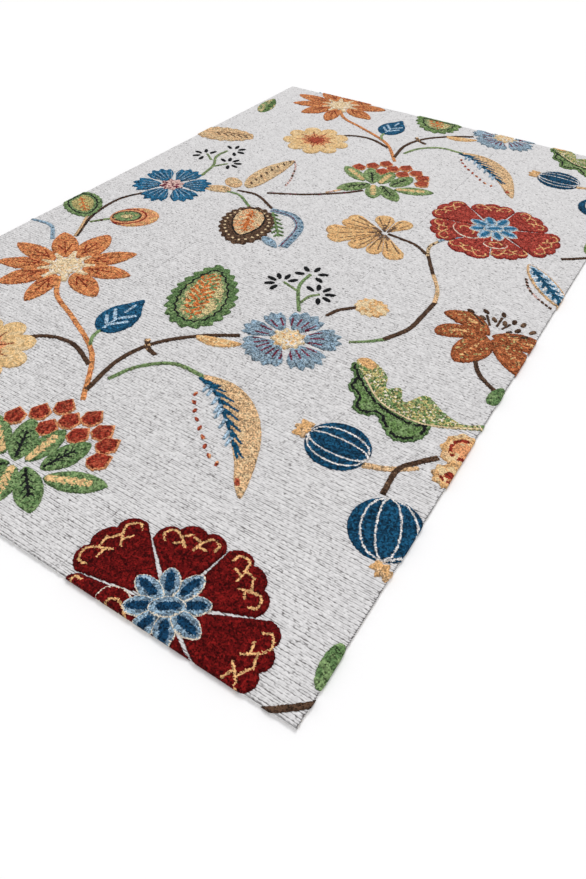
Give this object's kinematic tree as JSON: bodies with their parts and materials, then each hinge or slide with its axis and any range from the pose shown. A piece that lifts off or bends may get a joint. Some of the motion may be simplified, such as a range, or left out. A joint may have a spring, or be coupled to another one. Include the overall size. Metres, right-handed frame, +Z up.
{
  "type": "hand-tufted floral rug",
  "caption": "Rectangular hand-tufted rug lying flat: low loop-pile ground with raised, carved cut-pile flowers, leaves and stems.",
  "frame": {"origin": "centre of the rug's underside, on the floor", "axes": "+X along the short side, +Y along the long side, +Z up out of the pile"},
  "size_m": [1.524, 2.438, 0.0115],
  "materials": {
    "ground_pile": "off-white wool loop pile",
    "motif_pile": "dyed cut wool pile, carved",
    "backing": "coarse cotton backing cloth"
  },
  "bodies": {
    "root": {"rug": "ground_pile"}
  },
  "joints": []
}
